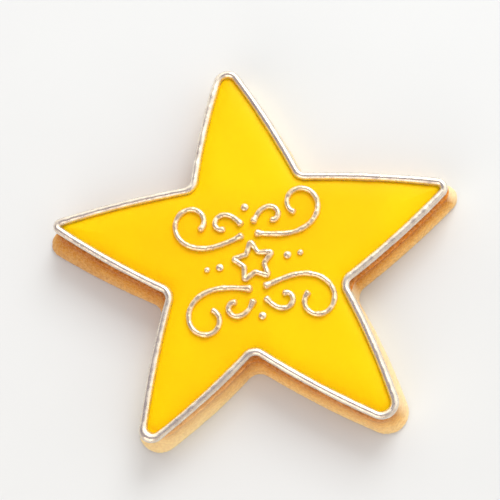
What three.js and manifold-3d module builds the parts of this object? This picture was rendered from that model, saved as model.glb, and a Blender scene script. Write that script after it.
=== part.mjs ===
import * as THREE from "three";
import { mergeVertices } from "three/addons/utils/BufferGeometryUtils.js";
import Module from "manifold-3d";

const wasm = await Module();
wasm.setup();

// An iced star cookie lying flat: a thick biscuit, a sheet of yellow icing on its top,
// a silver bead piped round the edge of that sheet and silver scrolls piped on it.
// Lengths are millimetres, angles degrees, and the underside of the biscuit is at z = 0.

// Edge of the yellow icing seen from above, one row for each of the five hand-cut arms.
// Angles and reaches run from the middle of the star to the sharp corner before rounding, and
// each tip is rounded by its own amount on the icing, the border and the foot of the biscuit.
// The lean is the angle by which an arm of the biscuit has sagged aside at its foot.
const ARMS = [
  { tip: [16.5, 65.7], notch: [58.5, 30.7], rounds: { icing: 1.2, border: 2.2, foot: 4.9 }, lean: 0 },
  { tip: [94.2, 68.9], notch: [124.3, 31.1], rounds: { icing: 2.3, border: 3.7, foot: 7.6 }, lean: 0 },
  { tip: [163.4, 67.0], notch: [194.0, 27.3], rounds: { icing: 0.9, border: 1.5, foot: 5.0 }, lean: 1.8 },
  { tip: [234.4, 67.5], notch: [264.9, 26.7], rounds: { icing: 2.4, border: 3.1, foot: 7.5 }, lean: 0 },
  { tip: [306.9, 69.0], notch: [341.5, 27.9], rounds: { icing: 3.0, border: 4.2, foot: 7.4 }, lean: 1 },
];
const TIP_ROUND_LEAST = 0.3;
const NOTCH_ROUND = 5.1;
const SIDE_BOW = 0.7;
const SIDE_DISTANCE = 26;
const EDGE_STEPS = { tip: 8, notch: 4, side: 8 };

// Biscuit: how far its wall stands outside the icing edge at the foot and at the shoulder.
// From the foot inwards the rounding of its tips shrinks by a share of the distance. Against the
// icing it lies a little to the front, and its foot also a little to the left.
const BISCUIT_HEIGHT = 12;
const FOOT_OUT = 5.3;
const FOOT_ROUND = 1.1;
const SHOULDER_OUT = 3.3;
const SHOULDER_ROUND = 0.8;
const TIP_ROUND_RISE = 0.4;
const BISCUIT_NOTCH_ROUND = 4.6;
const FOOT_SHIFT = [-0.9, -1.0];
const TOP_SHIFT = [0.1, -0.7];
const ROUND_STEPS = 3;
const WALL_STEPS = 4;
const WALL_WAVER = 0.28;

// Yellow icing: a flooded sheet that rises steeply at its edge and levels off over a short run.
// Close to the edge its rings are parallel to it, and further in they are drawn to the middle.
const ICING_GAP = 0.3;
const ICING_HEIGHT = 1.8;
const ICING_RUN = 6.7;
const ICING_PARALLEL = 1.1;
const ICING_FULLNESS = 0.8;
const ICING_STEPS = 7;

// Piped beads: a rounded section standing on a flat foot.
const BEAD_FOOT_ANGLE = 40;
const BEAD_ARC_STEPS = 6;
const BLOB_STEPS = [8, 5];
const BEAD_UNEVENNESS = 0.07;
const BORDER_WIDTH = 2.7;
const BORDER_HEIGHT = 2.7;
const BORDER_BLOB = { radius: 2.4, height: 3.0 };
const SCROLL_WIDTH = 2.1;
const SCROLL_HEIGHT = 1.45;
const SCROLL_STEP = 1.9;
const SCROLL_SINK = 0.4;
const START_BLOB = { radius: 1.4, height: 1.7 };
const END_BLOB = { radius: 1.3, height: 2.0 };

// Piped ornament about the middle of the star, turned with the star. Every scroll is piped
// twice, once on each side of the upright centre line, and its bend changes evenly along it.
const ORNAMENT_TURN = 5;
const SCROLLS = [
  { start: [2.6, 9.2], heading: -14, length: 45, bendFrom: -0.6, bendTo: 15.6 },
  { start: [2.2, 13.4], heading: 57, length: 15, bendFrom: -1, bendTo: -32 },
  { start: [2.6, -8.6], heading: 14, length: 45, bendFrom: 0.6, bendTo: -15.6 },
  { start: [2.2, -12.8], heading: -57, length: 15, bendFrom: 1, bendTo: 32 },
];
const SMALL_STAR = { tipReach: 6.9, tipRound: 0.4, notchReach: 3.4, notchRound: 0.8, arms: 5 };
const SMALL_STEPS = { tip: 3, notch: 2, side: 2 };
const DOTS = [
  { at: [0, 18.6], radius: 1.3 },
  { at: [0, -18.0], radius: 1.3 },
  { at: [11.2, 0.2], radius: 1.3 },
  { at: [-11.2, 0.2], radius: 1.3 },
  { at: [15.4, 0.2], radius: 1.0 },
  { at: [-15.4, 0.2], radius: 1.0 },
];
const DOT_HEIGHT = 1.3;

const radians = THREE.MathUtils.degToRad;
const polar = (angle, reach) =>
  new THREE.Vector2(Math.cos(radians(angle)), Math.sin(radians(angle))).multiplyScalar(reach);
const outwardOf = (direction) => new THREE.Vector2(direction.y, -direction.x);

// Corner where two neighbouring sides meet after both have moved outwards by the offset.
function movedCorner(corner, before, after, offset) {
  const p = corner.point.clone().addScaledVector(outwardOf(before), offset);
  const q = corner.point.clone().addScaledVector(outwardOf(after), offset);
  const along = q.sub(p).cross(after) / before.cross(after);
  return p.addScaledVector(before, along);
}

// Star outline moved outwards by an offset, with rounded corners and slightly bowed sides.
// Every offset gives the same number of points, so that outlines can be joined in a wall.
function starOutline(corners, offset, bow, steps) {
  const count = corners.length;
  const sides = corners.map((corner, i) =>
    corners[(i + 1) % count].point.clone().sub(corner.point).normalize());
  const arcs = corners.map((corner, i) => {
    const before = sides[(i + count - 1) % count];
    const after = sides[i];
    const tip = movedCorner(corner, before, after, offset);
    const radius = corner.round;
    const turn = Math.atan2(before.cross(after), before.dot(after));
    const first = tip.addScaledVector(before, -radius * Math.tan(Math.abs(turn) / 2));
    const centre = first.clone().addScaledVector(outwardOf(before), -Math.sign(turn) * radius);
    const arcSteps = turn > 0 ? steps.tip : steps.notch;
    return Array.from({ length: arcSteps + 1 }, (_, j) =>
      first.clone().rotateAround(centre, (turn * j) / arcSteps));
  });
  return arcs.flatMap((arc, i) => {
    const from = arc[arc.length - 1];
    const to = arcs[(i + 1) % count][0];
    const side = Array.from({ length: steps.side - 1 }, (_, j) => {
      const t = (j + 1) / steps.side;
      return from.clone().lerp(to, t).addScaledVector(outwardOf(sides[i]), 4 * bow * t * (1 - t));
    });
    return [...arc, ...side];
  });
}

// Smooth unevenness of hand work, between about -1 and 1, along a closed round of 0 to 1.
function unevenness(round, seed) {
  const waves = [3, 7, 12];
  const parts = waves.map((wave) => Math.sin(2 * Math.PI * (wave * round + seed * wave * 0.37)));
  return parts.reduce((sum, part) => sum + part, 0) / waves.length;
}

// Closed solid from rings of points, bottom ring first, with a fan over each open end.
function stackedRings(rings) {
  const size = rings[0].length;
  const middle = (ring) =>
    ring.reduce((sum, p) => sum.add(p), new THREE.Vector3()).divideScalar(ring.length);
  const points = [...rings.flat(), middle(rings[0]), middle(rings[rings.length - 1])];
  const foot = rings.length * size;
  const lastRing = foot - size;
  const index = [];
  for (let j = 0; j < size; j += 1) {
    const next = (j + 1) % size;
    for (let r = 0; r < rings.length - 1; r += 1) {
      const low = r * size;
      index.push(low + j, low + next, low + size + next);
      index.push(low + j, low + size + next, low + size + j);
    }
    index.push(foot, next, j);
    index.push(foot + 1, lastRing + j, lastRing + next);
  }
  return indexedGeometry(points, index);
}

function indexedGeometry(points, index) {
  const geometry = new THREE.BufferGeometry().setFromPoints(points);
  geometry.setIndex(index);
  return geometry;
}

// Bead piped along a flat path: the same rounded section carried from point to point.
function pipedBead(path, closed, width, height, foot, seed) {
  const count = path.length;
  const last = count - 1;
  const at = (i) => path[closed ? (i + count) % count : THREE.MathUtils.clamp(i, 0, last)];
  const sunk = Math.sin(radians(BEAD_FOOT_ANGLE));
  const rise = height / (1 + sunk);
  const sections = path.map((p, i) => {
    const across = outwardOf(at(i - 1).clone().sub(at(i + 1)).normalize());
    const size = 1 + BEAD_UNEVENNESS * unevenness(i / count, seed);
    return Array.from({ length: BEAD_ARC_STEPS + 1 }, (_, j) => {
      const sweep = (180 + 2 * BEAD_FOOT_ANGLE) / BEAD_ARC_STEPS;
      const angle = radians(sweep * j - BEAD_FOOT_ANGLE);
      const q = p.clone().addScaledVector(across, (size * width * Math.cos(angle)) / 2);
      return new THREE.Vector3(q.x, q.y, foot + size * rise * (sunk + Math.sin(angle)));
    });
  });
  return closed ? joinedRings(sections) : stackedRings(sections);
}

// Closed ring solid from sections that follow each other round and meet the first again.
function joinedRings(sections) {
  const size = sections[0].length;
  const index = [];
  sections.forEach((_, i) => {
    const here = i * size;
    const there = ((i + 1) % sections.length) * size;
    for (let j = 0; j < size; j += 1) {
      const next = (j + 1) % size;
      index.push(here + j, here + next, there + next);
      index.push(here + j, there + next, there + j);
    }
  });
  return indexedGeometry(sections.flat(), index);
}

// Blob of icing: the squashed ball left where piping starts, stops or is only a dot.
function pipedBlob(at, radius, height, foot) {
  const ball = new THREE.SphereGeometry(1, ...BLOB_STEPS).rotateX(Math.PI / 2);
  ball.deleteAttribute("uv");
  ball.deleteAttribute("normal");
  ball.scale(radius, radius, height / 2).translate(at.x, at.y, foot + height / 2);
  return mergeVertices(ball, 1e-4);
}

// Path of a scroll whose bend, in degrees for each millimetre, changes evenly along it.
function scrollPath({ start, heading, length, bendFrom, bendTo }) {
  const steps = Math.ceil(length / SCROLL_STEP);
  const step = length / steps;
  const path = [new THREE.Vector2(...start)];
  let direction = heading;
  for (let i = 0; i < steps; i += 1) {
    const bend = THREE.MathUtils.lerp(bendFrom, bendTo, (i + 0.5) / steps);
    direction += (bend * step) / 2;
    path.push(path[i].clone().add(polar(direction, step)));
    direction += (bend * step) / 2;
  }
  return path;
}

// One solid out of several that run into each other.
function fused(geometries) {
  const solids = geometries.map((geometry) => {
    const mesh = new wasm.Mesh({
      numProp: 3,
      vertProperties: new Float32Array(geometry.attributes.position.array),
      triVerts: new Uint32Array(geometry.index.array),
    });
    mesh.merge();
    return new wasm.Manifold(mesh);
  });
  const mesh = wasm.Manifold.union(solids).getMesh();
  const geometry = new THREE.BufferGeometry();
  geometry.setAttribute("position", new THREE.BufferAttribute(mesh.vertProperties, 3));
  geometry.setIndex(new THREE.BufferAttribute(mesh.triVerts, 1));
  return geometry;
}

const raised = (outline, height) => outline.map((p) => new THREE.Vector3(p.x, p.y, height));

// Outline of the whole star, moved outwards by an offset, with the roundings asked for and with
// the given share of each arm's lean.
function edgeAt(offset, tipRound, notchRound = NOTCH_ROUND - offset, leaning = 0) {
  const corners = ARMS.flatMap((arm) => [
    { point: polar(arm.tip[0] + leaning * arm.lean, arm.tip[1]), round: tipRound(arm.rounds) },
    { point: polar(...arm.notch), round: notchRound },
  ]);
  return starOutline(corners, offset, SIDE_BOW, EDGE_STEPS);
}

function biscuitEdge(offset, height) {
  const tipRound = (rounds) => rounds.foot - TIP_ROUND_RISE * (FOOT_OUT - offset);
  const risen = height / BISCUIT_HEIGHT;
  const shift = new THREE.Vector2(...FOOT_SHIFT).lerp(new THREE.Vector2(...TOP_SHIFT), risen);
  const outline = edgeAt(offset, tipRound, BISCUIT_NOTCH_ROUND, 1 - risen);
  return outline.map((p) => p.add(shift));
}

const icingEdge = (offset) =>
  edgeAt(offset, (rounds) => Math.max(rounds.icing + offset, TIP_ROUND_LEAST));

// Biscuit wall from the rounded foot, up the slightly hollow flare, to the rounded shoulder.
function biscuitProfile() {
  const steps = (count) => Array.from({ length: count + 1 }, (_, j) => j / count);
  const foot = steps(ROUND_STEPS).map((t) => ({
    offset: FOOT_OUT - FOOT_ROUND * (1 - Math.sin((t * Math.PI) / 2)),
    height: FOOT_ROUND * (1 - Math.cos((t * Math.PI) / 2)),
  }));
  const wall = steps(WALL_STEPS).slice(1, -1).map((t) => ({
    offset: THREE.MathUtils.lerp(FOOT_OUT, SHOULDER_OUT, Math.sin((t * Math.PI) / 2)),
    height: THREE.MathUtils.lerp(FOOT_ROUND, BISCUIT_HEIGHT - SHOULDER_ROUND, t),
  }));
  const shoulder = steps(ROUND_STEPS).map((t) => ({
    offset: SHOULDER_OUT - SHOULDER_ROUND * (1 - Math.cos((t * Math.PI) / 2)),
    height: BISCUIT_HEIGHT - SHOULDER_ROUND * (1 - Math.sin((t * Math.PI) / 2)),
  }));
  return [...foot, ...wall, ...shoulder];
}

// The cut and baked wall wanders a little; the wander fades out at the flat top and underside.
function biscuitGeometry() {
  const rings = biscuitProfile().map(({ offset, height }) => {
    const fade = Math.sin((Math.PI * height) / BISCUIT_HEIGHT);
    const still = biscuitEdge(offset, height);
    const moved = biscuitEdge(offset + WALL_WAVER, height);
    const wavering = still.map((p, i) =>
      p.clone().lerp(moved[i], fade * unevenness(i / still.length, 2 + height / 60)));
    return raised(wavering, height);
  });
  return stackedRings(rings);
}

// Yellow icing: rings that rise from its edge to the level crown, each one further in.
function icingGeometry() {
  const rings = Array.from({ length: ICING_STEPS + 1 }, (_, j) => {
    const angle = (j / ICING_STEPS) * (Math.PI / 2);
    const inset = ICING_RUN * (1 - Math.cos(angle));
    const drawn = Math.max(inset - ICING_PARALLEL, 0) / SIDE_DISTANCE;
    const outline = icingEdge(-ICING_GAP - Math.min(inset, ICING_PARALLEL));
    const height = BISCUIT_HEIGHT + ICING_HEIGHT * Math.sin(angle) ** ICING_FULLNESS;
    return raised(outline.map((p) => p.multiplyScalar(1 - drawn)), height);
  });
  return stackedRings(rings);
}

// Ornament piped on the crown: mirrored scrolls with their end blobs, a small star and dots.
function ornamentGeometries() {
  const foot = BISCUIT_HEIGHT + ICING_HEIGHT - SCROLL_SINK;
  const turned = (p) => p.clone().rotateAround(new THREE.Vector2(), radians(ORNAMENT_TURN));
  const blob = (p, { radius, height }) => pipedBlob(turned(p), radius, height + SCROLL_SINK, foot);
  const bead = (path, closed, seed) =>
    pipedBead(path.map(turned), closed, SCROLL_WIDTH, SCROLL_HEIGHT + SCROLL_SINK, foot, seed);
  const scrolls = SCROLLS.flatMap((scroll, i) => [1, -1].flatMap((side) => {
    const path = scrollPath(scroll).map((p) => new THREE.Vector2(side * p.x, p.y));
    const ends = [blob(path[0], START_BLOB), blob(path[path.length - 1], END_BLOB)];
    return [bead(path, false, i + side / 3), ...ends];
  }));
  const armTurn = 360 / SMALL_STAR.arms;
  const smallCorners = Array.from({ length: SMALL_STAR.arms }, (_, i) => [
    { point: polar(90 + armTurn * i, SMALL_STAR.tipReach), round: SMALL_STAR.tipRound },
    { point: polar(90 + armTurn * (i + 0.5), SMALL_STAR.notchReach), round: SMALL_STAR.notchRound },
  ]).flat();
  const smallPath = starOutline(smallCorners, 0, 0, SMALL_STEPS);
  const dots = DOTS.map(({ at, radius }) =>
    blob(new THREE.Vector2(...at), { radius, height: DOT_HEIGHT }));
  return [...scrolls, bead(smallPath, true, 5), ...dots];
}

// Silver bead round the icing, standing on the biscuit, with the blob in the tip of the arm at the
// lower left where it was closed.
function borderGeometry() {
  const path = edgeAt(BORDER_WIDTH / 2, (rounds) => rounds.border);
  const closing = path.reduce((low, p) => (p.x + p.y < low.x + low.y ? p : low));
  return fused([
    pipedBead(path, true, BORDER_WIDTH, BORDER_HEIGHT, BISCUIT_HEIGHT, 1),
    pipedBlob(closing, BORDER_BLOB.radius, BORDER_BLOB.height, BISCUIT_HEIGHT),
  ]);
}

const cookie = new THREE.Group();
cookie.name = "iced_sugar_cookie";
const box = new THREE.Box2().setFromPoints(biscuitEdge(FOOT_OUT, FOOT_ROUND));
const middle = box.getCenter(new THREE.Vector2());

function addPiece(name, geometry, material) {
  geometry.translate(-middle.x, -middle.y, 0);
  const mesh = new THREE.Mesh(geometry, material);
  mesh.name = name;
  cookie.add(mesh);
}

addPiece(
  "biscuit",
  biscuitGeometry(),
  new THREE.MeshStandardMaterial({ color: 0xd9ab66, roughness: 0.85 }),
);
addPiece(
  "icing_flood",
  fused([icingGeometry(), ...ornamentGeometries()]),
  new THREE.MeshStandardMaterial({ color: 0xfdd406, roughness: 0.45 }),
);
addPiece(
  "piped_border",
  borderGeometry(),
  new THREE.MeshStandardMaterial({ color: 0xcfcac0, roughness: 0.35, metalness: 0.6 }),
);

export default cookie;
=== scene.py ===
import math

import bmesh
import bpy
import numpy as np
from mathutils import Matrix, Vector


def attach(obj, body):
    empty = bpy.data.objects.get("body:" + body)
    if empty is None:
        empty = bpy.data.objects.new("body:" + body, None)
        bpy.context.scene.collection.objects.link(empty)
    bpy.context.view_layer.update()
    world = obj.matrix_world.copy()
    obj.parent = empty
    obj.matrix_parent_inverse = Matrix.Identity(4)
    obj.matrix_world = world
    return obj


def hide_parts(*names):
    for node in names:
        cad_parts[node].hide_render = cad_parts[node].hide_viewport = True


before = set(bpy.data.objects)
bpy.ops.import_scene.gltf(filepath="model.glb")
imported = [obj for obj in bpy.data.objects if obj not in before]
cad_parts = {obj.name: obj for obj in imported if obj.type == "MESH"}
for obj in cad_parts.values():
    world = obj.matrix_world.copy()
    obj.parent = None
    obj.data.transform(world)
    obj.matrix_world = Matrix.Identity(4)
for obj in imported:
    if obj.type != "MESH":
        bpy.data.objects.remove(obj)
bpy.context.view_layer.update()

# The biscuit: one thick star of rolled sugar dough, cut out by hand, baked golden and laid flat.
# Its wall shows grain and pits. It is browner under the icing, partly baked and partly painted
# shade of the border's overhang, and paler at the foot with painted light bounced from the floor.
# It is browner on the left arm and darker in the notches with painted shade, and the sides facing
# the lamp at the back right carry painted light in cream. It carries everything else. Sizes are
# in millimetres.
MM = 0.001
ARMS = [
    # tip angle and reach, notch angle and reach, tip rounding of icing, border and foot, lean
    (16.5, 65.7, 58.5, 30.7, 1.2, 2.2, 4.9, 0),
    (94.2, 68.9, 124.3, 31.1, 2.3, 3.7, 7.6, 0),
    (163.4, 67.0, 194.0, 27.3, 0.9, 1.5, 5.0, 1.8),
    (234.4, 67.5, 264.9, 26.7, 2.4, 3.1, 7.5, 0),
    (306.9, 69.0, 341.5, 27.9, 3.0, 4.2, 7.4, 1),
]
ICING_ROUNDS, BORDER_ROUNDS, FOOT_ROUNDS, LEANS = np.array(ARMS)[:, 4:].T
TIP_ROUND_LEAST = 0.3
NOTCH_ROUND = 5.1
SIDE_BOW = 0.7
BISCUIT_HEIGHT = 12.0
FOOT_OUT = 5.3
FOOT_ROUND = 1.1
SHOULDER_OUT = 3.3
SHOULDER_ROUND = 0.8
TIP_ROUND_RISE = 0.4
BISCUIT_NOTCH_ROUND = 4.6
FOOT_SHIFT = np.array([-0.9, -1.0])
TOP_SHIFT = np.array([0.1, -0.7])
WALL_WAVER = 0.28
WAVER_SEED = 2
WAVER_DRIFT = 60  # height over which one waver turns into quite another
WAVE_PHASE = 0.37
CRUMB_STEPS = {"tip": 40, "notch": 8, "side": 100}
FOOT_STEPS = 5
WALL_STEPS = 33
SHOULDER_STEPS = 6
FACE_STEPS = 10


def polar(angle, reach):
    return reach * np.array([math.cos(math.radians(angle)), math.sin(math.radians(angle))])


def outward(direction):
    return np.array([direction[1], -direction[0]])


def crossed(a, b):
    return a[0] * b[1] - a[1] * b[0]


def arc_points(first, centre, turn, steps):
    angles = np.linspace(0, turn, steps + 1)
    c, s = np.cos(angles), np.sin(angles)
    x, y = first - centre
    return centre + np.stack([x * c - y * s, x * s + y * c], 1)


def star_outline(corners, offset, bow, steps):
    """Edge of a star moved outwards by an offset; each corner is its place and its rounding."""
    count = len(corners)
    sides = [corners[(i + 1) % count][0] - corners[i][0] for i in range(count)]
    sides = [side / np.linalg.norm(side) for side in sides]
    arcs = []
    for i, (point, radius) in enumerate(corners):
        before, after = sides[i - 1], sides[i]
        p, q = point + outward(before) * offset, point + outward(after) * offset
        sharp = p + before * crossed(q - p, after) / crossed(before, after)
        turn = math.atan2(crossed(before, after), before @ after)
        first = sharp - before * radius * math.tan(abs(turn) / 2)
        centre = first - outward(before) * math.copysign(radius, turn)
        arcs.append(arc_points(first, centre, turn, steps["tip" if turn > 0 else "notch"]))
    outline = []
    for i, arc in enumerate(arcs):
        t = np.linspace(0, 1, steps["side"] + 1)[1:-1, None]
        start, end = arc[-1], arcs[(i + 1) % count][0]
        outline += [arc, start + (end - start) * t + outward(sides[i]) * 4 * bow * t * (1 - t)]
    return np.concatenate(outline)


def edge_at(offset, tip_rounds, notch_round, steps, leans=(0,) * len(ARMS)):
    """Outline of the whole star, moved outwards by an offset, with its five tip roundings."""
    corners = []
    for arm, tip_round, lean in zip(ARMS, tip_rounds, leans):
        corners.append((polar(arm[0] + lean, arm[1]), tip_round))
        corners.append((polar(arm[2], arm[3]), notch_round))
    return star_outline(corners, offset, SIDE_BOW, steps)


def biscuit_edge(offset, height):
    rounds = FOOT_ROUNDS - TIP_ROUND_RISE * (FOOT_OUT - offset)
    risen = height / BISCUIT_HEIGHT
    outline = edge_at(offset, rounds, BISCUIT_NOTCH_ROUND, CRUMB_STEPS, LEANS * (1 - risen))
    return outline + FOOT_SHIFT * (1 - risen) + TOP_SHIFT * risen


def unevenness(count, seed):
    """Smooth unevenness of hand work round a closed outline, between about -1 and 1."""
    turn = 2 * math.pi * np.arange(count) / count
    waves = (3, 7, 12)
    return sum(np.sin(w * turn + 2 * math.pi * seed * w * WAVE_PHASE) for w in waves) / len(waves)


foot_outline = biscuit_edge(FOOT_OUT, FOOT_ROUND)
MIDDLE = (foot_outline.min(0) + foot_outline.max(0)) / 2


def at_height(outline, height):
    """Outline in the star's own millimetres as points of the part, in metres."""
    flat = (outline - MIDDLE) * MM
    return np.column_stack([flat, np.full(len(flat), height * MM)])


def mesh_object(name, points, faces=(), edges=()):
    mesh = bpy.data.meshes.new(name)
    mesh.from_pydata([tuple(p) for p in points], edges, faces)
    made = bpy.data.objects.new(name, mesh)
    bpy.context.scene.collection.objects.link(made)
    return made


def lofted(name, rings):
    """Closed skin through rings of points, lowest first, with a fan over each end."""
    count = len(rings[0])
    points = np.concatenate([*rings, [rings[0].mean(0), rings[-1].mean(0)]])
    here = np.arange(count)
    there = np.roll(here, -1)
    faces = []
    for low in range(0, (len(rings) - 1) * count, count):
        high = low + count
        faces += np.stack([low + here, low + there, high + there, high + here], 1).tolist()
    top = (len(rings) - 1) * count
    faces += [(len(points) - 2, b, a) for a, b in zip(here, there)]
    faces += [(len(points) - 1, top + a, top + b) for a, b in zip(here, there)]
    return mesh_object(name, points, faces)


def biscuit_rings():
    """Rings from the middle of the underside, up the wall, to the middle of the top."""
    profile = []
    for a in np.linspace(0, math.pi / 2, FOOT_STEPS + 1):
        profile.append((FOOT_OUT - FOOT_ROUND * (1 - math.sin(a)), FOOT_ROUND * (1 - math.cos(a))))
    wall_top = BISCUIT_HEIGHT - SHOULDER_ROUND
    for t in np.linspace(0, 1, WALL_STEPS + 1)[1:-1]:
        flare = (SHOULDER_OUT - FOOT_OUT) * math.sin(t * math.pi / 2)
        profile.append((FOOT_OUT + flare, FOOT_ROUND + (wall_top - FOOT_ROUND) * t))
    for a in np.linspace(0, math.pi / 2, SHOULDER_STEPS + 1):
        rounded = SHOULDER_ROUND * (1 - math.cos(a))
        profile.append((SHOULDER_OUT - rounded, wall_top + SHOULDER_ROUND * math.sin(a)))
    rings = []
    for offset, height in profile:
        still = biscuit_edge(offset, height)
        fade = math.sin(math.pi * height / BISCUIT_HEIGHT)
        waver = fade * unevenness(len(still), WAVER_SEED + height / WAVER_DRIFT)
        moved = biscuit_edge(offset + WALL_WAVER, height) - still
        rings.append(at_height(still + moved * waver[:, None], height))
    inwards = np.linspace(1, 0, FACE_STEPS + 1)[1:-1]
    underside = [at_height(biscuit_edge(*profile[0]) * s, 0) for s in inwards[::-1]]
    top = [at_height(biscuit_edge(*profile[-1]) * s, BISCUIT_HEIGHT) for s in inwards]
    return underside + rings + top


def add(tree, kind, inputs=None, **settings):
    """A node with its settings, its inputs joined to sockets or set to plain values."""
    node = tree.nodes.new(kind)
    for name, value in settings.items():
        setattr(node, name, value)
    for key, value in (inputs or {}).items():
        if isinstance(value, bpy.types.NodeSocket):
            tree.links.new(value, node.inputs[key])
        else:
            node.inputs[key].default_value = value
    return node


def calc(tree, operation, *values):
    node = add(tree, "ShaderNodeMath", dict(enumerate(values)), operation=operation)
    return node.outputs[0]


def vector(tree, operation, *values):
    node = add(tree, "ShaderNodeVectorMath", dict(enumerate(values)), operation=operation)
    return node.outputs[0]


def scaled(tree, value, factor):
    node = add(tree, "ShaderNodeVectorMath", {0: value, "Scale": factor}, operation="SCALE")
    return node.outputs[0]


def measured(tree, operation, *vectors):
    """A number worked out from vectors: a length or a dot product."""
    node = add(tree, "ShaderNodeVectorMath", dict(enumerate(vectors)), operation=operation)
    return node.outputs["Value"]


def shaping_tree(name, sizes, counts=()):
    """A new Geometry Nodes tree with a named input for each size, and its group input."""
    tree = bpy.data.node_groups.new(name, "GeometryNodeTree")
    tree.interface.new_socket("Geometry", in_out="INPUT", socket_type="NodeSocketGeometry")
    for size in sizes:
        tree.interface.new_socket(size, in_out="INPUT", socket_type="NodeSocketFloat")
    for number in counts:
        tree.interface.new_socket(number, in_out="INPUT", socket_type="NodeSocketInt")
    tree.interface.new_socket("Material", in_out="INPUT", socket_type="NodeSocketMaterial")
    tree.interface.new_socket("Geometry", in_out="OUTPUT", socket_type="NodeSocketGeometry")
    return tree, add(tree, "NodeGroupInput").outputs


def close_tree(tree, geometry, material):
    real = add(tree, "GeometryNodeRealizeInstances", {"Geometry": geometry})
    dressed = add(tree, "GeometryNodeSetMaterial", {
        "Geometry": real.outputs[0], "Material": material})
    add(tree, "NodeGroupOutput", {"Geometry": dressed.outputs[0]})


def shape_by(piece, tree, values):
    """Runs a tree on a piece and keeps the result as the piece's own plain mesh."""
    modifier = piece.modifiers.new(tree.name, "NODES")
    modifier.node_group = tree
    for item in tree.interface.items_tree:
        if item.in_out == "INPUT" and item.name in values:
            modifier[item.identifier] = values[item.name]
    evaluated = piece.evaluated_get(bpy.context.evaluated_depsgraph_get())
    mesh = bpy.data.meshes.new_from_object(evaluated)
    piece.modifiers.clear()
    rough_mesh = piece.data
    piece.data = mesh
    bpy.data.meshes.remove(rough_mesh)
    skin = bmesh.new()
    skin.from_mesh(mesh)
    bmesh.ops.remove_doubles(skin, verts=skin.verts, dist=MM / 1000)
    bmesh.ops.recalc_face_normals(skin, faces=skin.faces)
    skin.to_mesh(mesh)
    skin.free()
    mesh.shade_smooth()
    return piece


PIT_START = 0.56
PIT_FULL = 0.70
# Direction the sides face that the lamp at the back right lights; the crumb is painted cream there
# as painted light.
TO_LIT_SIDE = (0.94, 0.34, 0.0)


def uneven_skin_tree():
    """Presses swells, grain and scattered pits inwards, fading out at the flat underside.

    It also keeps how far the skin faces the lamp at the back right, for painted light on those
    sides.
    """
    sizes = ["Swell Size", "Swell Depth", "Grain Size", "Grain Depth", "Pit Size", "Pit Depth",
             "Fade Height"]
    tree, given = shaping_tree("uneven skin", sizes, ["Seed"])
    place = add(tree, "GeometryNodeInputPosition").outputs[0]

    def relief(size, detail):
        spread = calc(tree, "DIVIDE", 1.0, size)
        settings = {"Vector": place, "W": given["Seed"], "Scale": spread, "Detail": detail}
        return add(tree, "ShaderNodeTexNoise", settings, noise_dimensions="4D").outputs[0]

    swell = calc(tree, "MULTIPLY", relief(given["Swell Size"], 1.0), given["Swell Depth"])
    grain = calc(tree, "MULTIPLY", relief(given["Grain Size"], 3.0), given["Grain Depth"])
    hollow = add(tree, "ShaderNodeMapRange", {
        "Value": relief(given["Pit Size"], 1.5), "From Min": PIT_START, "From Max": PIT_FULL},
        interpolation_type="SMOOTHSTEP")
    pits = calc(tree, "MULTIPLY", hollow.outputs[0], given["Pit Depth"])
    depth = calc(tree, "ADD", calc(tree, "ADD", swell, grain), pits)
    height = add(tree, "ShaderNodeSeparateXYZ", {0: place}).outputs["Z"]
    fade = add(tree, "ShaderNodeMapRange", {"Value": height, "From Max": given["Fade Height"]})
    pressed = calc(tree, "MULTIPLY", calc(tree, "MULTIPLY", depth, fade.outputs[0]), -1.0)
    normal = add(tree, "GeometryNodeInputNormal").outputs[0]
    # How far the skin faces the lamp at the back right, kept for painted light on those sides.
    facing_light = measured(tree, "DOT_PRODUCT", normal, TO_LIT_SIDE)
    noted = add(tree, "GeometryNodeStoreNamedAttribute", {
        "Geometry": given["Geometry"], "Name": "lit side", "Value": facing_light},
        data_type="FLOAT", domain="POINT")
    moved = add(tree, "GeometryNodeSetPosition", {
        "Geometry": noted.outputs[0], "Offset": scaled(tree, normal, pressed)})
    close_tree(tree, moved.outputs[0], given["Material"])
    return tree


uneven_skin = uneven_skin_tree()


def linear(red, green, blue):
    """Colour as seen, 0 to 255, as the linear colour a shader takes."""
    seen = np.array([red, green, blue]) / 255
    low = seen / 12.92
    high = ((seen + 0.055) / 1.055) ** 2.4
    return (*np.where(seen <= 0.04045, low, high).tolist(), 1.0)


def mottle_group():
    """Shader group: soft cloudy mask of a given size in millimetres, used by every material."""
    tree = bpy.data.node_groups.new("mottle", "ShaderNodeTree")
    sockets = {"Place": "Vector", "Size": "Float", "Detail": "Float", "Contrast": "Float"}
    for name, kind in sockets.items():
        tree.interface.new_socket(name, in_out="INPUT", socket_type="NodeSocket" + kind)
    tree.interface.new_socket("Mask", in_out="OUTPUT", socket_type="NodeSocketFloat")
    given = add(tree, "NodeGroupInput").outputs
    cloud = add(tree, "ShaderNodeTexNoise", {
        "Vector": given["Place"],
        "Scale": calc(tree, "DIVIDE", 1.0, given["Size"]),
        "Detail": given["Detail"],
    })
    centred = calc(tree, "SUBTRACT", cloud.outputs[0], 0.5)
    spread = calc(tree, "MULTIPLY", centred, given["Contrast"])
    mask = add(tree, "ShaderNodeMath", {0: spread, 1: 0.5}, operation="ADD", use_clamp=True)
    add(tree, "NodeGroupOutput", {"Mask": mask.outputs[0]})
    return tree


mottle_tree = mottle_group()


def new_material(name):
    """An empty material with its Principled shader and its place in millimetres."""
    material = bpy.data.materials.new(name)
    material.use_nodes = True
    tree = material.node_tree
    tree.nodes.clear()
    shader = add(tree, "ShaderNodeBsdfPrincipled")
    add(tree, "ShaderNodeOutputMaterial", {"Surface": shader.outputs[0]})
    coordinates = add(tree, "ShaderNodeTexCoord").outputs["Object"]
    place = add(tree, "ShaderNodeMapping", {"Vector": coordinates, "Scale": (1 / MM,) * 3})
    return material, tree, shader, place.outputs[0]


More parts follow.
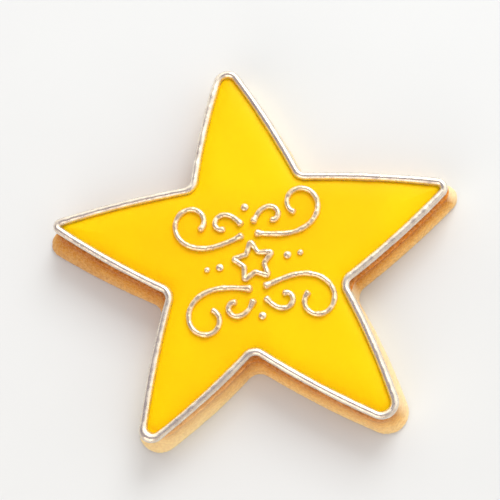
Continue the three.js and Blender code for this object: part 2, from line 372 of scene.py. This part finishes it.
def mottled(tree, place, size, detail, contrast):
    node = add(tree, "ShaderNodeGroup", node_tree=mottle_tree)
    tree.links.new(place, node.inputs["Place"])
    for name, value in (("Size", size), ("Detail", detail), ("Contrast", contrast)):
        node.inputs[name].default_value = value
    return node.outputs["Mask"]


def blended(tree, mask, first, second):
    """Mix of two colours, all of the second where the mask is 1."""
    node = add(tree, "ShaderNodeMix", {0: mask, 6: first, 7: second}, data_type="RGBA")
    return node.outputs[2]


def ranged(tree, value, low, high):
    node = add(tree, "ShaderNodeMapRange", {"Value": value, "To Min": low, "To Max": high})
    return node.outputs[0]


def grown(tree, value, start, full, share):
    """Mask that grows from nothing at one value to its full share at another."""
    node = add(tree, "ShaderNodeMapRange", {
        "Value": value, "From Min": start, "From Max": full, "To Max": share})
    return node.outputs[0]


def ramped(tree, value, stops):
    """Colour along a ramp of (place, colour) stops."""
    node = add(tree, "ShaderNodeValToRGB", {0: value})
    while len(node.color_ramp.elements) < len(stops):
        node.color_ramp.elements.new(1.0)
    for element, (position, colour) in zip(node.color_ramp.elements, stops):
        element.position = position
        element.color = colour
    return node.outputs[0]


# The ramp darkens upwards to a band just under the bead, from 10.2 to 11.2 mm: painted shade of the
# bead's overhang over the baked tone. The paler foot is painted light bounced from the floor.
BAKE_AND_SHADE_STOPS = [
    # height in millimetres, colour seen there on the wall
    (0.0, (240, 194, 130)),
    (1.0, (252, 210, 142)),
    (4.0, (250, 194, 102)),
    (7.0, (226, 155, 46)),
    (9.0, (204, 128, 24)),
    (10.2, (190, 108, 18)),
    (10.7, (164, 82, 18)),
    (11.2, (208, 122, 32)),
    (12.0, (232, 148, 56)),
]
RAMP_SHIFT = 1.3
CRUMB_DARK = (172, 98, 42)
CRUMB_PALE = (255, 234, 178)
# cream painted light for the sides that face the lamp
LIT_SIDE_CREAM = (244, 220, 180)
# brown for the left arm, and painted shade in the notches
BROWN_AND_NOTCH_SHADE = (164, 90, 20)
TO_PALE_TIP = (-0.35, -0.94, 0.0)
TONE_AND_LIGHT_ZONES = {
    # where a zone of another tone, of painted light or of painted shade begins, where it is full,
    # and its share there
    # painted light on the sides facing the lamp at the back right
    "lit side": (0.45, 0.85, 0.75),
    "pale tip": (34.0, 55.0, 0.9),
    "left arm": (-25.0, -55.0, 0.4),
    # painted shade deep in the notches, where less light reaches
    "notch_shade": (46.0, 33.0, 0.4),
}
PALE_TIP_ABOVE = 0.45  # how much of the pale tip is left at the top of the wall
DARK_GRAIN_SHARES = (0.2, 0.1)  # under the pale zones and over them
PALE_GRAIN_SHARE = 0.15


def baked_crumb():
    """Crumb coloured by height, with painted shade under the bead and painted floor bounce at the
    foot, and by zones, with painted shade in the notches and painted light on the lit sides,
    with dark and pale grains strewn over it.
    """
    material, tree, shader, place = new_material("baked crumb")
    patches = mottled(tree, place, size=9.0, detail=2.0, contrast=1.6)
    across, _, height = add(tree, "ShaderNodeSeparateXYZ", {0: place}).outputs
    from_top = calc(tree, "SUBTRACT", BISCUIT_HEIGHT, height)
    arch = calc(tree, "MULTIPLY", height, from_top)
    between = calc(tree, "DIVIDE", arch, (BISCUIT_HEIGHT / 2) ** 2)
    shift = calc(tree, "MULTIPLY", ranged(tree, patches, -RAMP_SHIFT, RAMP_SHIFT), between)
    share = calc(tree, "DIVIDE", calc(tree, "ADD", height, shift), BISCUIT_HEIGHT)
    # Colour by height: baked tone with painted shade under the bead and painted floor bounce at the
    # foot.
    tone_and_light = ramped(tree, share, [(h / BISCUIT_HEIGHT, linear(*seen)) for h, seen in BAKE_AND_SHADE_STOPS])
    # Browner on the left arm, and darker towards the middle as painted shade deep in the notches.
    left_arm = grown(tree, across, *TONE_AND_LIGHT_ZONES["left arm"])
    from_middle = measured(tree, "LENGTH", vector(tree, "MULTIPLY", place, (1, 1, 0)))
    notch_shade = grown(tree, from_middle, *TONE_AND_LIGHT_ZONES["notch_shade"])
    tone_and_light = blended(tree, calc(tree, "MAXIMUM", left_arm, notch_shade), tone_and_light, linear(*BROWN_AND_NOTCH_SHADE))
    grains = mottled(tree, place, size=1.1, detail=2.0, contrast=7.0)
    under, over = [calc(tree, "MULTIPLY", grains, part) for part in DARK_GRAIN_SHARES]
    tone_and_light = blended(tree, under, tone_and_light, linear(*CRUMB_DARK))
    along = measured(tree, "DOT_PRODUCT", place, TO_PALE_TIP)
    pale_tip = grown(tree, along, *TONE_AND_LIGHT_ZONES["pale tip"])
    pale_tip = calc(tree, "MULTIPLY", pale_tip, ranged(tree, share, 1.0, PALE_TIP_ABOVE))
    tone_and_light = blended(tree, pale_tip, tone_and_light, linear(*CRUMB_PALE))
    # Painted light: the sides facing the lamp at the back right turn cream.
    facing_light = add(tree, "ShaderNodeAttribute", attribute_name="lit side").outputs["Fac"]
    lit_side_light = grown(tree, facing_light, *TONE_AND_LIGHT_ZONES["lit side"])
    tone_and_light = blended(tree, lit_side_light, tone_and_light, linear(*LIT_SIDE_CREAM))
    tone_and_light = blended(tree, over, tone_and_light, linear(*CRUMB_DARK))
    pale_grains = mottled(tree, place, size=0.7, detail=1.0, contrast=9.0)
    strewn = calc(tree, "MULTIPLY", pale_grains, PALE_GRAIN_SHARE)
    colour = blended(tree, strewn, tone_and_light, linear(*CRUMB_PALE))
    tree.links.new(colour, shader.inputs["Base Color"])
    tree.links.new(ranged(tree, patches, 0.72, 0.9), shader.inputs["Roughness"])
    grit = mottled(tree, place, size=0.4, detail=3.0, contrast=2.0)
    bump = add(tree, "ShaderNodeBump", {"Height": grit, "Strength": 0.6, "Distance": 0.12 * MM})
    tree.links.new(bump.outputs[0], shader.inputs["Normal"])
    shader.inputs["Specular IOR Level"].default_value = 0.2
    shader.inputs["Subsurface Weight"].default_value = 0.1
    shader.inputs["Subsurface Radius"].default_value = (1.0, 0.55, 0.25)
    shader.inputs["Subsurface Scale"].default_value = 1.0 * MM
    return material


biscuit = lofted("baked_biscuit", biscuit_rings())
shape_by(biscuit, uneven_skin, {
    "Swell Size": 14 * MM,
    "Swell Depth": 0.3 * MM,
    "Grain Size": 1.3 * MM,
    "Grain Depth": 0.3 * MM,
    "Pit Size": 2.2 * MM,
    "Pit Depth": 0.3 * MM,
    "Fade Height": 1.0 * MM,
    "Seed": 4,
    "Material": baked_crumb(),
})
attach(biscuit, "root")
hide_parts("biscuit")

# The yellow icing: thinned royal icing flooded over the top inside its border, where it
# settles to a smooth sheet with a rounded rim and dries with a soft sheen. Its rim reaches
# just under the border's bead.
ICING_TUCK = 0.7
ICING_SINK = 0.5
ICING_HEIGHT = 1.8
ICING_RUN = 7.0
ICING_PARALLEL = 1.4  # how far in from the edge the rings stay parallel to it
ICING_FULLNESS = 0.8
SIDE_DISTANCE = 26.0
SHEET_STEPS = {"tip": 24, "notch": 8, "side": 40}
RISE_STEPS = 22
CROWN_STEPS = 14


def icing_rings():
    """Rings that rise steeply from the tucked edge and level off towards the middle."""
    rings = []
    for angle in np.linspace(0, math.pi / 2, RISE_STEPS + 1):
        inset = (ICING_TUCK + ICING_RUN) * (1 - math.cos(angle)) - ICING_TUCK
        offset = -min(inset, ICING_PARALLEL)
        tip_rounds = np.maximum(ICING_ROUNDS + min(offset, 0), TIP_ROUND_LEAST)
        outline = edge_at(offset, tip_rounds, NOTCH_ROUND - offset, SHEET_STEPS)
        shrink = 1 - max(inset - ICING_PARALLEL, 0) / SIDE_DISTANCE
        height = BISCUIT_HEIGHT + ICING_HEIGHT * math.sin(angle) ** ICING_FULLNESS
        rings.append(at_height(outline * shrink, height))
    level = [at_height(outline * s, height) for s in np.linspace(shrink, 0, CROWN_STEPS)[1:-1]]
    below = rings[0] - (0, 0, ICING_SINK * MM)
    return [below] + rings + level


YELLOW_DEEP = (255, 190, 0)
YELLOW_BRIGHT = (255, 211, 0)


def set_yellow_icing():
    material, tree, shader, place = new_material("set yellow icing")
    tone = mottled(tree, place, size=30.0, detail=1.0, contrast=1.6)
    colour = blended(tree, tone, linear(*YELLOW_DEEP), linear(*YELLOW_BRIGHT))
    tree.links.new(colour, shader.inputs["Base Color"])
    sheen = ranged(tree, mottled(tree, place, size=5.0, detail=2.0, contrast=1.5), 0.4, 0.55)
    tree.links.new(sheen, shader.inputs["Roughness"])
    grain = calc(tree, "MULTIPLY", mottled(tree, place, size=0.35, detail=1.0, contrast=1.0), 0.12)
    ripple = calc(tree, "ADD", mottled(tree, place, size=2.6, detail=2.0, contrast=1.0), grain)
    bump = add(tree, "ShaderNodeBump", {"Height": ripple, "Strength": 0.3, "Distance": 0.08 * MM})
    tree.links.new(bump.outputs[0], shader.inputs["Normal"])
    shader.inputs["Specular IOR Level"].default_value = 0.1
    shader.inputs["Subsurface Weight"].default_value = 0.4
    shader.inputs["Subsurface Radius"].default_value = (1.0, 0.35, 0.03)
    shader.inputs["Subsurface Scale"].default_value = 1.6 * MM
    return material


icing = lofted("icing_sheet", icing_rings())
shape_by(icing, uneven_skin, {
    "Swell Size": 16 * MM,
    "Swell Depth": 0.12 * MM,
    "Grain Size": 4 * MM,
    "Grain Depth": 0.01 * MM,
    "Pit Size": 6 * MM,
    "Pit Depth": 0.0,
    "Fade Height": 1.0 * MM,
    "Seed": 9,
    "Material": set_yellow_icing(),
})
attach(icing, "root")
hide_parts("icing_flood")

# The border: stiffer icing piped in one round bead along the edge of the yellow sheet, closed
# with a small blob at the lower left, then brushed with silver lustre. The hand's pressure makes
# it a little thicker and thinner along its way.
BEAD_FOOT_ANGLE = 40  # how far below its widest place a round bead meets its ground
BEAD_SIDES = 20
BORDER_WIDTH = 2.7
BORDER_HEIGHT = 2.7
BORDER_STEPS = {"tip": 16, "notch": 8, "side": 60}
END_LEFT = 0.01  # how much of the bead is left at the very end of a stroke


def piped_bead_tree():
    """Sweeps a rounded bead along a path, with blobs at its ends and uneven pressure."""
    sizes = ["Bead Width", "Bead Height", "Foot Height", "Section Spacing", "End Rounding",
             "Start Swell", "End Swell", "Blob Lift", "Swell Run", "Pressure Change",
             "Pressure Length", "Dent Depth", "Dent Size"]
    tree, given = shaping_tree("piped bead", sizes, ["Seed"])
    path = add(tree, "GeometryNodeMeshToCurve", {"Mesh": given["Geometry"]}).outputs[0]
    path = add(tree, "GeometryNodeResampleCurve", {
        "Curve": path, "Length": given["Section Spacing"]}, mode="LENGTH").outputs[0]
    path = add(tree, "GeometryNodeSetCurveNormal", {"Curve": path}, mode="Z_UP").outputs[0]

    from_start = add(tree, "GeometryNodeSplineParameter").outputs["Length"]
    whole = add(tree, "GeometryNodeSplineLength").outputs["Length"]
    from_end = calc(tree, "SUBTRACT", whole, from_start)
    least = MM / 1000
    rounding = calc(tree, "MAXIMUM", given["End Rounding"], least)
    nearest = calc(tree, "ADD", calc(tree, "MINIMUM", from_start, from_end), least)
    reached = calc(tree, "MINIMUM", calc(tree, "DIVIDE", nearest, rounding), 1.0)
    missing = calc(tree, "SUBTRACT", 1.0, reached)
    hollowed = calc(tree, "POWER", missing, 2.0)
    round_end = calc(tree, "SQRT", calc(tree, "SUBTRACT", 1 + END_LEFT ** 2, hollowed))

    def blob(distance):
        away = calc(tree, "ABSOLUTE", calc(tree, "SUBTRACT", distance, given["End Rounding"]))
        fade = add(tree, "ShaderNodeMapRange", {
            "Value": away, "From Max": given["Swell Run"], "To Min": 1.0, "To Max": 0.0},
            interpolation_type="SMOOTHSTEP")
        return fade.outputs[0]

    centre = add(tree, "GeometryNodeInputPosition").outputs[0]
    spread = calc(tree, "DIVIDE", 1.0, given["Pressure Length"])
    hand = add(tree, "ShaderNodeTexNoise", {
        "Vector": centre, "W": given["Seed"], "Scale": spread, "Detail": 2.0},
        noise_dimensions="4D").outputs[0]
    pressure = calc(tree, "MULTIPLY", calc(tree, "SUBTRACT", hand, 0.5), given["Pressure Change"])
    even = calc(tree, "ADD", 1.0, pressure)
    started = calc(tree, "MULTIPLY_ADD", blob(from_start), given["Start Swell"], even)
    swell = calc(tree, "MULTIPLY_ADD", blob(from_end), given["End Swell"], started)
    blobs = calc(tree, "ADD", blob(from_start), blob(from_end))
    lift = calc(tree, "MULTIPLY_ADD", blobs, given["Blob Lift"], swell)

    kept = add(tree, "GeometryNodeCaptureAttribute", {"Geometry": path})
    for kind, name, value in (
        ("VECTOR", "Centre", centre),
        ("FLOAT", "Width", calc(tree, "MULTIPLY", swell, round_end)),
        ("FLOAT", "Height", calc(tree, "MULTIPLY", lift, round_end)),
    ):
        kept.capture_items.new(kind, name)
        tree.links.new(value, kept.inputs[name])
    section = add(tree, "GeometryNodeCurvePrimitiveCircle", {
        "Resolution": BEAD_SIDES, "Radius": MM})
    tube = add(tree, "GeometryNodeCurveToMesh", {
        "Curve": kept.outputs["Geometry"], "Profile Curve": section.outputs[0], "Fill Caps": True})

    around = scaled(tree, vector(tree, "SUBTRACT", centre, kept.outputs["Centre"]), 1 / MM)
    sides = add(tree, "ShaderNodeSeparateXYZ", {0: around}).outputs
    middle = add(tree, "ShaderNodeSeparateXYZ", {0: kept.outputs["Centre"]}).outputs
    half = calc(tree, "MULTIPLY", given["Bead Width"], 0.5)
    half_width = calc(tree, "MULTIPLY", half, kept.outputs["Width"])
    sunk = math.sin(math.radians(BEAD_FOOT_ANGLE))
    even_rise = calc(tree, "MULTIPLY", given["Bead Height"], 1 / (1 + sunk))
    rise = calc(tree, "MULTIPLY", even_rise, kept.outputs["Height"])
    above_foot = calc(tree, "ADD", sides["Z"], sunk)
    place = add(tree, "ShaderNodeCombineXYZ", {
        "X": calc(tree, "MULTIPLY_ADD", sides["X"], half_width, middle["X"]),
        "Y": calc(tree, "MULTIPLY_ADD", sides["Y"], half_width, middle["Y"]),
        "Z": calc(tree, "MULTIPLY_ADD", above_foot, rise, given["Foot Height"]),
    })
    bead = add(tree, "GeometryNodeSetPosition", {
        "Geometry": tube.outputs[0], "Position": place.outputs[0]})
    dent_spread = calc(tree, "DIVIDE", 1.0, given["Dent Size"])
    dent_noise = add(tree, "ShaderNodeTexNoise", {
        "Vector": centre, "W": given["Seed"], "Scale": dent_spread, "Detail": 1.0},
        noise_dimensions="4D").outputs[0]
    dent = calc(tree, "MULTIPLY", dent_noise, calc(tree, "MULTIPLY", given["Dent Depth"], -1.0))
    dented = add(tree, "GeometryNodeSetPosition", {
        "Geometry": bead.outputs[0],
        "Offset": scaled(tree, add(tree, "GeometryNodeInputNormal").outputs[0], dent),
    })
    close_tree(tree, dented.outputs[0], given["Material"])
    return tree


piped_bead = piped_bead_tree()

BORDER_SILVER = ((208, 198, 190), (250, 243, 226))
WORN_METAL_LOSS = 0.16


def silver_lustre(name, worn_colour, fresh_colour, metal):
    """Silver powder brushed on icing, thinner and duller in patches where it wore off."""
    material, tree, shader, place = new_material(name)
    worn = mottled(tree, place, size=2.6, detail=3.0, contrast=1.6)
    colour = blended(tree, worn, linear(*worn_colour), linear(*fresh_colour))
    tree.links.new(colour, shader.inputs["Base Color"])
    satin = ranged(tree, mottled(tree, place, size=1.4, detail=2.0, contrast=2.0), 0.22, 0.36)
    tree.links.new(satin, shader.inputs["Roughness"])
    tree.links.new(ranged(tree, worn, metal - WORN_METAL_LOSS, metal), shader.inputs["Metallic"])
    fine = mottled(tree, place, size=0.22, detail=2.0, contrast=1.5)
    dust = calc(tree, "ADD", fine, mottled(tree, place, size=0.9, detail=1.0, contrast=2.0))
    bump = add(tree, "ShaderNodeBump", {"Height": dust, "Strength": 0.26, "Distance": 0.06 * MM})
    tree.links.new(bump.outputs[0], shader.inputs["Normal"])
    return material


def piping_path(name, runs):
    """Object of plain edges along runs of flat points, each run (points, closed)."""
    points, edges = [], []
    for run, closed in runs:
        first = len(points)
        points += at_height(run, 0).tolist()
        last = len(points) - 1
        edges += [(i, i + 1) for i in range(first, last)]
        if closed:
            edges.append((last, first))
    return mesh_object(name, points, edges=edges)


half_bead = BORDER_WIDTH / 2
border_line = edge_at(half_bead, BORDER_ROUNDS, NOTCH_ROUND - half_bead, BORDER_STEPS)
border_line = np.roll(border_line, -int(border_line.sum(1).argmin()), axis=0)
border = piping_path("border_bead", [(border_line, True)])
shape_by(border, piped_bead, {
    "Bead Width": BORDER_WIDTH * MM,
    "Bead Height": BORDER_HEIGHT * MM,
    "Foot Height": BISCUIT_HEIGHT * MM,
    "Section Spacing": 0.35 * MM,
    "End Rounding": 0.0,
    "Start Swell": 0.36,
    "End Swell": 0.36,
    "Blob Lift": -0.24,
    "Swell Run": 5.0 * MM,
    "Pressure Change": 0.3,
    "Pressure Length": 7 * MM,
    "Dent Depth": 0.09 * MM,
    "Dent Size": 1.8 * MM,
    "Seed": 3,
    "Material": silver_lustre("silver lustre", *BORDER_SILVER, 0.98),
})
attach(border, "root")
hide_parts("piped_border")

# The ornament: scrolls and a small star piped on the set yellow icing with the same stiff
# icing, each stroke a little thicker where the nozzle touched down and where it lifted, then
# brushed with a warmer silver lustre.
ORNAMENT_TURN = 5  # as far as the star itself is turned
SCROLLS = [
    # start, heading, length, bend at the start and at the end in degrees per millimetre
    ((2.6, 9.2), -14, 45, -0.6, 15.6),
    ((2.2, 13.4), 57, 15, -1, -32),
    ((2.6, -8.6), 14, 45, 0.6, -15.6),
    ((2.2, -12.8), -57, 15, 1, 32),
]
SCROLL_WIDTH = 2.1
SCROLL_HEIGHT = 1.45
SCROLL_SINK = 0.4
SCROLL_STEP = 0.4
SCROLL_END = 1.1
SMALL_TIP = (6.9, 0.4)
SMALL_NOTCH = (3.4, 0.8)
SMALL_ARMS = 5
SMALL_STEPS = {"tip": 8, "notch": 6, "side": 8}
SCROLL_SILVER = ((214, 186, 152), (255, 242, 210))
CROWN_HEIGHT = BISCUIT_HEIGHT + ICING_HEIGHT


def scroll_line(start, heading, length, bend_from, bend_to):
    """Line whose bend changes evenly along it, drawn out a little past both its ends."""
    steps = math.ceil(length / SCROLL_STEP)
    step = length / steps
    bends = bend_from + (bend_to - bend_from) * (np.arange(steps) + 0.5) / steps
    headings = heading + np.cumsum(bends * step) - bends * step / 2
    line = [np.array(start) - polar(heading, SCROLL_END), np.array(start)]
    for angle in headings:
        line.append(line[-1] + polar(angle, step))
    line.append(line[-1] + polar(headings[-1] + bends[-1] * step, SCROLL_END))
    return np.array(line)


def turned(line):
    c, s = polar(ORNAMENT_TURN, 1)
    return line @ np.array([[c, s], [-s, c]])


scroll_runs = []
for scroll in SCROLLS:
    line = scroll_line(*scroll)
    scroll_runs += [(turned(line), False), (turned(line * (-1, 1)), False)]
scrolls = piping_path("scroll_piping", scroll_runs)
small_corners = []
for arm_angle in np.arange(SMALL_ARMS) * 360 / SMALL_ARMS + 90:
    small_corners.append((polar(arm_angle, SMALL_TIP[0]), SMALL_TIP[1]))
    small_corners.append((polar(arm_angle + 180 / SMALL_ARMS, SMALL_NOTCH[0]), SMALL_NOTCH[1]))
small_line = star_outline(small_corners, 0, 0, SMALL_STEPS)
small_star = piping_path("small_star_piping", [(turned(small_line), True)])
warm_silver = silver_lustre("warm silver lustre", *SCROLL_SILVER, 0.9)
STROKE = {
    "Bead Width": SCROLL_WIDTH * MM,
    "Bead Height": (SCROLL_HEIGHT + SCROLL_SINK) * MM,
    "Foot Height": (CROWN_HEIGHT - SCROLL_SINK) * MM,
    "Section Spacing": 0.25 * MM,
    "Swell Run": 2.2 * MM,
    "Pressure Change": 0.5,
    "Pressure Length": 3.5 * MM,
    "Dent Depth": 0.2 * MM,
    "Dent Size": 1.3 * MM,
    "Material": warm_silver,
}
shape_by(scrolls, piped_bead, {
    **STROKE,
    "End Rounding": SCROLL_END * MM,
    "Start Swell": 0.26,
    "End Swell": 0.14,
    "Blob Lift": 0.0,
    "Seed": 11,
})
shape_by(small_star, piped_bead, {
    **STROKE,
    "End Rounding": 0.0,
    "Start Swell": 0.12,
    "End Swell": 0.12,
    "Blob Lift": 0.0,
    "Seed": 17,
})

# The dots: single touches of the nozzle round the small star, each a squashed ball with a
# faint peak, in the ornament's silver-brushed icing.
DOTS = [
    # across, up, radius
    (0, 18.6, 1.3),
    (0, -18.0, 1.3),
    (11.2, 0.2, 1.3),
    (-11.2, 0.2, 1.3),
    (15.4, 0.2, 1.0),
    (-15.4, 0.2, 1.0),
]
DOT_HEIGHT = 1.3
DOT_PEAK = 0.16
DOT_PEAK_REACH = 0.55
DOT_BALL = {"Segments": 28, "Rings": 18, "Radius": 1.0}
WOBBLE_SIZE = 1.6
WOBBLE_MIDDLE = (0.5, 0.5, 0.8)  # above the noise's mean in height, so that dots settle


def piped_dot_tree():
    """Sets a squashed and faintly peaked ball on each point, as wide as its radius says."""
    sizes = ["Dot Height", "Foot Height", "Peak", "Wobble"]
    tree, given = shaping_tree("piped dot", sizes, ["Seed"])
    ball = add(tree, "GeometryNodeMeshUVSphere", DOT_BALL)
    place = add(tree, "GeometryNodeInputPosition").outputs[0]
    off_axis = measured(tree, "LENGTH", vector(tree, "MULTIPLY", place, (1, 1, 0)))
    near = add(tree, "ShaderNodeMapRange", {
        "Value": off_axis, "From Max": DOT_PEAK_REACH, "To Min": 1.0, "To Max": 0.0},
        interpolation_type="SMOOTHSTEP").outputs[0]
    height = add(tree, "ShaderNodeSeparateXYZ", {0: place}).outputs["Z"]
    upper = calc(tree, "MAXIMUM", height, 0.0)
    lift = calc(tree, "MULTIPLY", calc(tree, "MULTIPLY", near, upper), given["Peak"])
    peaked = add(tree, "GeometryNodeSetPosition", {
        "Geometry": ball.outputs[0],
        "Offset": add(tree, "ShaderNodeCombineXYZ", {"Z": lift}).outputs[0],
    })
    radius = add(tree, "GeometryNodeInputNamedAttribute", {"Name": "radius"}).outputs[0]
    half = calc(tree, "DIVIDE", given["Dot Height"], 2.0 + DOT_PEAK)
    size = add(tree, "ShaderNodeCombineXYZ", {"X": radius, "Y": radius, "Z": half}).outputs[0]
    placed = add(tree, "GeometryNodeInstanceOnPoints", {
        "Points": given["Geometry"], "Instance": peaked.outputs[0], "Scale": size})
    whole = add(tree, "GeometryNodeRealizeInstances", {"Geometry": placed.outputs[0]})
    wobble = add(tree, "ShaderNodeTexNoise", {
        "Vector": place, "W": given["Seed"], "Scale": 1 / (WOBBLE_SIZE * MM), "Detail": 1.0},
        noise_dimensions="4D").outputs["Color"]
    shaken = scaled(tree, vector(tree, "SUBTRACT", wobble, WOBBLE_MIDDLE), given["Wobble"])
    raised = add(tree, "ShaderNodeCombineXYZ", {"Z": calc(tree, "ADD", half, given["Foot Height"])})
    dots = add(tree, "GeometryNodeSetPosition", {
        "Geometry": whole.outputs[0],
        "Offset": vector(tree, "ADD", shaken, raised.outputs[0]),
    })
    close_tree(tree, dots.outputs[0], given["Material"])
    return tree


dot_table = np.array(DOTS)
dots = mesh_object("piped_dots", at_height(turned(dot_table[:, :2]), 0))
radii = dots.data.attributes.new("radius", "FLOAT", "POINT")
radii.data.foreach_set("value", dot_table[:, 2] * MM)
shape_by(dots, piped_dot_tree(), {
    "Dot Height": (DOT_HEIGHT + SCROLL_SINK) * MM,
    "Foot Height": (CROWN_HEIGHT - SCROLL_SINK) * MM,
    "Peak": DOT_PEAK,
    "Wobble": 0.25 * MM,
    "Seed": 23,
    "Material": warm_silver,
})
for piping in (scrolls, small_star, dots):
    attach(piping, "root")
    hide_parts("icing_flood")

# The setting: a plain pale floor under the cookie, a soft light high at the back right, a warm
# weaker one at the front left, and a pale surround. The silver mirrors the surround's dark
# patch, overhead and to the left, as the dark line along each bead.
FLOOR_SIZE = 6.0
FLOOR_PALE = (222, 228, 232)
FLOOR_DULL = (218, 224, 228)
COOKIE_MIDDLE = Vector((0, 0, 8 * MM))

floor = mesh_object("floor", [
    (x * FLOOR_SIZE / 2, y * FLOOR_SIZE / 2, 0) for x, y in ((-1, -1), (1, -1), (1, 1), (-1, 1))
], [(0, 1, 2, 3)])
floor_material, floor_tree, floor_shader, floor_place = new_material("pale floor")
floor_mottle = mottled(floor_tree, floor_place, size=60.0, detail=2.0, contrast=1.0)
floor_tone = blended(floor_tree, floor_mottle, linear(*FLOOR_PALE), linear(*FLOOR_DULL))
floor_tree.links.new(floor_tone, floor_shader.inputs["Base Color"])
floor_shader.inputs["Roughness"].default_value = 0.8
floor_shader.inputs["Specular IOR Level"].default_value = 0.1
floor.data.materials.append(floor_material)


def softbox(name, place, size, power, colour):
    """A square area light that faces the cookie."""
    light = bpy.data.lights.new(name, "AREA")
    light.shape = "SQUARE"
    light.size = size
    light.energy = power
    light.color = colour
    lamp = bpy.data.objects.new(name, light)
    bpy.context.scene.collection.objects.link(lamp)
    lamp.location = place
    lamp.rotation_euler = (COOKIE_MIDDLE - Vector(place)).to_track_quat("-Z", "Y").to_euler()


softbox("window", (0.38, 0.75, 0.72), size=0.55, power=6.2, colour=(1.0, 0.99, 0.97))
softbox("front_fill", (-0.5, -0.8, 0.6), size=1.0, power=4.6, colour=(1.0, 0.86, 0.72))

TO_BACK = (0.25, 0.87, 0.42)
OVERHEAD = (-0.05, -0.36, 0.93)
TO_LEFT = (-0.70, 0.10, 0.70)
DARK_PATCH = (113, 106, 122)
WALL_STOPS = [
    # how far the direction leans to the back, colour seen there
    (0.0, (178, 163, 150)),
    (0.35, (186, 174, 164)),
    (0.6, (238, 231, 221)),
    (1.0, (255, 252, 241)),
]
PATCH_STOPS = [
    # how far the direction leans to the middle of the patch, how dark it is there
    (0.88, 0),
    (0.94, 0.85),
    (1.0, 1),
]
world = bpy.data.worlds.new("surround")
world.use_nodes = True
surround = world.node_tree
surround.nodes.clear()
direction = add(surround, "ShaderNodeTexCoord").outputs["Generated"]


def lean_to(axis):
    """How far the looked-at direction leans to an axis, from 0 for away to 1 for along it."""
    along = measured(surround, "DOT_PRODUCT", direction, axis)
    return calc(surround, "MULTIPLY_ADD", along, 0.5, 0.5)


walls = ramped(surround, lean_to(TO_BACK), [(at, linear(*seen)) for at, seen in WALL_STOPS])
nearest_patch = calc(surround, "MAXIMUM", lean_to(OVERHEAD), lean_to(TO_LEFT))
patch = ramped(surround, nearest_patch, [(at, (dark, dark, dark, 1)) for at, dark in PATCH_STOPS])
sky = blended(surround, patch, walls, linear(*DARK_PATCH))
background = add(surround, "ShaderNodeBackground", {"Color": sky, "Strength": 1.5})
add(surround, "ShaderNodeOutputWorld", {"Surface": background.outputs[0]})
bpy.context.scene.world = world
bpy.context.scene.view_settings.view_transform = "Standard"

# The camera stands where the photograph's did: nearly above the cookie, a little to its front
# and right, turned slightly, with a longer lens so that the cookie fills the frame.
CAMERA_PLACE = Vector(at_height(np.array([[40.2, -82.8]]), 361.8)[0])
CAMERA_TURN = 4.24
CAMERA_LENS = 80

camera = bpy.data.objects.new("camera", bpy.data.cameras.new("camera"))
bpy.context.scene.collection.objects.link(camera)
forward = (COOKIE_MIDDLE - CAMERA_PLACE).normalized()
image_up = Vector((*polar(90 - CAMERA_TURN, 1), 0))
right = forward.cross(image_up).normalized()
upright = right.cross(forward)
camera.matrix_world = Matrix.Translation(CAMERA_PLACE) @ Matrix(
    (right, upright, -forward)).transposed().to_4x4()
camera.data.lens = CAMERA_LENS
camera.data.clip_start = 0.01
bpy.context.scene.camera = camera
